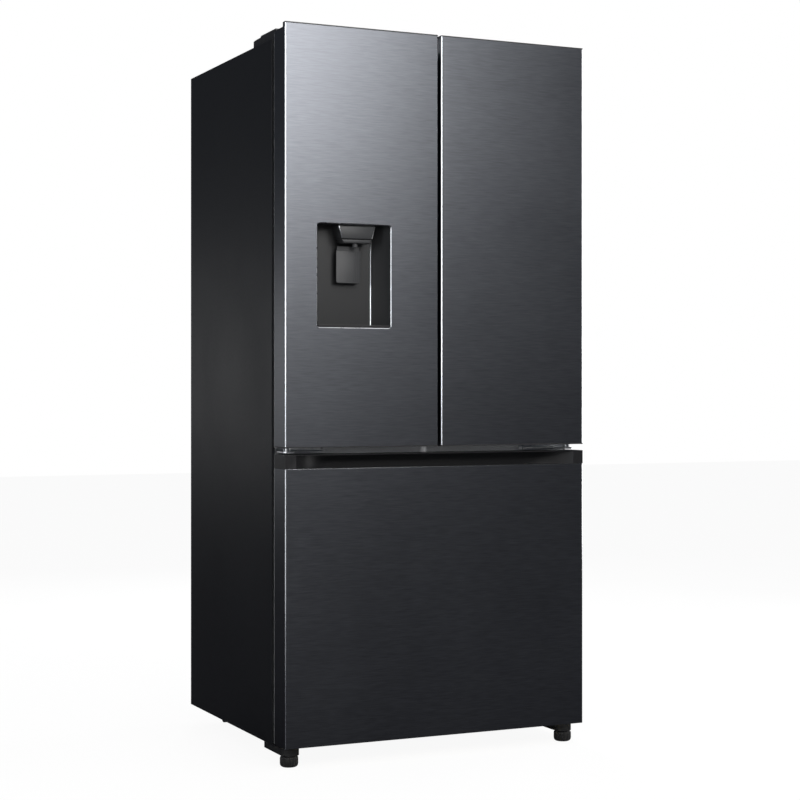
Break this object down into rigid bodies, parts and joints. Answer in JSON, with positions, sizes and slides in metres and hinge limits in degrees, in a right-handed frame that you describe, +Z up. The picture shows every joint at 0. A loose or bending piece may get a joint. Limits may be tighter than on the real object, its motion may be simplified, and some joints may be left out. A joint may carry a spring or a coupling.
{
  "type": "french door refrigerator",
  "caption": "Free-standing refrigerator with side-by-side upper doors, a water dispenser and a freezer drawer below.",
  "frame": {"origin": "on the floor under the middle of the object's box", "axes": "+Z up, +X to the right seen from the front, the door fronts face -Y"},
  "size_m": [0.817, 0.713, 1.782],
  "materials": {
    "front_steel": "satin",
    "cabinet_paint": "satin",
    "galvanised": "satin",
    "black_plastic": "satin",
    "black_gloss": "gloss",
    "divider_grey": "satin",
    "foam": "matte",
    "white_liner": "satin",
    "grey_trim": "satin",
    "shelf_glass": "gloss",
    "clear_plastic": "gloss",
    "lamp_lens": "satin",
    "chrome": "polished",
    "hinge_steel": "satin",
    "gasket_rubber": "matte",
    "foot_rubber": "matte",
    "compressor_paint": "gloss",
    "coil_steel": "satin",
    "evaporator_alloy": "satin",
    "rail_steel": "satin",
    "roller_nylon": "satin",
    "fan_plastic": "satin"
  },
  "bodies": {
    "cabinet": {"outer_panels": "cabinet_paint", "back_panel": "galvanised", "base_pan": "galvanised", "divider_front": "divider_grey", "insulation_foam": "foam", "fridge_liner": "white_liner", "freezer_liner": "white_liner", "shelf_frames": "grey_trim", "shelf_glass": "shelf_glass", "fridge_duct": "white_liner", "ceiling_light": "lamp_lens", "top_hinges": "hinge_steel", "hinge_covers": "black_plastic", "middle_hinges": "chrome", "hinge_screws": "chrome", "floor_brackets": "hinge_steel", "compressor": "compressor_paint", "compressor_grommets": "foot_rubber", "condenser": "coil_steel", "fan_bracket": "galvanised", "machine_cover": "black_plastic", "power_gland": "black_plastic", "evaporator": "evaporator_alloy", "evaporator_cover": "white_liner", "freezer_outer_rails": "rail_steel"},
    "left_door": {"left_door_skin": "front_steel", "left_door_caps": "black_plastic", "left_door_foam": "foam", "left_door_liner": "white_liner", "left_door_gasket": "gasket_rubber", "left_door_bins": "clear_plastic", "water_tank": "clear_plastic", "dispenser_housing": "black_gloss", "dispenser_rim": "chrome", "dispenser_spout": "black_plastic", "dispenser_tray": "black_plastic"},
    "right_door": {"right_door_skin": "front_steel", "right_door_caps": "black_plastic", "right_door_foam": "foam", "right_door_liner": "white_liner", "right_door_gasket": "gasket_rubber", "right_door_bins": "clear_plastic"},
    "freezer_drawer": {"drawer_skin": "front_steel", "drawer_handle_cap": "black_plastic", "drawer_foam": "foam", "drawer_liner": "white_liner", "drawer_gasket": "gasket_rubber", "drawer_frame": "rail_steel", "freezer_lower_bin": "clear_plastic"},
    "condenser_fan": {"condenser_fan": "fan_plastic"},
    "evaporator_fan": {"evaporator_fan": "fan_plastic"},
    "rear_rollers": {"rear_rollers": "roller_nylon"},
    "front_foot_left": {"front_foot_left": "foot_rubber"},
    "front_foot_right": {"front_foot_right": "foot_rubber"},
    "crisper_left": {"crisper_left": "clear_plastic"},
    "crisper_right": {"crisper_right": "clear_plastic"},
    "freezer_middle_rails": {"freezer_middle_rails": "rail_steel"},
    "dispenser_lever": {"dispenser_lever": "black_plastic"},
    "flip_mullion": {"flip_mullion": "grey_trim"},
    "freezer_upper_bin": {"freezer_upper_bin": "clear_plastic"}
  },
  "joints": [
    {"name": "left_door_hinge", "type": "hinge", "parent": "cabinet", "child": "left_door", "pos_m": [-0.3865, -0.3115, 1.2], "axis": [0, 0, -1], "range_deg": [0, 120]},
    {"name": "right_door_hinge", "type": "hinge", "parent": "cabinet", "child": "right_door", "pos_m": [0.3865, -0.3115, 1.2], "axis": [0, 0, 1], "range_deg": [0, 120]},
    {"name": "flip_mullion_hinge", "type": "hinge", "parent": "left_door", "child": "flip_mullion", "pos_m": [-0.031, -0.262, 1.2], "axis": [0, 0, -1], "range_deg": [0, 90]},
    {"name": "dispenser_lever_pivot", "type": "hinge", "parent": "left_door", "child": "dispenser_lever", "pos_m": [-0.2305, -0.3185, 1.2533], "axis": [1, 0, 0], "range_deg": [0, 10], "stiffness_Nm_per_rad": 0.15, "springref_deg": -5.73},
    {"name": "freezer_drawer_slide", "type": "slide", "parent": "cabinet", "child": "freezer_drawer", "axis": [0, -1, 0], "range_m": [0, 0.42]},
    {"name": "freezer_middle_rail_slide", "type": "slide", "parent": "cabinet", "child": "freezer_middle_rails", "axis": [0, -1, 0], "range_m": [0, 0.21]},
    {"name": "freezer_upper_bin_slide", "type": "slide", "parent": "freezer_drawer", "child": "freezer_upper_bin", "axis": [0, 1, 0], "range_m": [0, 0.2]},
    {"name": "crisper_left_slide", "type": "slide", "parent": "cabinet", "child": "crisper_left", "axis": [0, -1, 0], "range_m": [0, 0.1]},
    {"name": "crisper_right_slide", "type": "slide", "parent": "cabinet", "child": "crisper_right", "axis": [0, -1, 0], "range_m": [0, 0.1]},
    {"name": "condenser_fan_spin", "type": "hinge", "parent": "cabinet", "child": "condenser_fan", "pos_m": [-0.076, 0.26175, 0.183], "axis": [1, 0, 0], "continuous": true},
    {"name": "evaporator_fan_spin", "type": "hinge", "parent": "cabinet", "child": "evaporator_fan", "pos_m": [0, 0.256, 0.635], "axis": [0, 1, 0], "continuous": true},
    {"name": "rear_roller_spin", "type": "hinge", "parent": "cabinet", "child": "rear_rollers", "pos_m": [0, 0.3, 0.019], "axis": [1, 0, 0], "continuous": true},
    {"name": "front_foot_left_screw", "type": "hinge", "parent": "cabinet", "child": "front_foot_left", "pos_m": [-0.3785, -0.3045, 0.015], "axis": [0, 0, 1], "continuous": true},
    {"name": "front_foot_right_screw", "type": "hinge", "parent": "cabinet", "child": "front_foot_right", "pos_m": [0.3785, -0.3045, 0.015], "axis": [0, 0, 1], "continuous": true}
  ],
  "couplings": [
    {"joint": "freezer_middle_rail_slide", "follows": "freezer_drawer_slide", "ratio": 0.5}
  ]
}
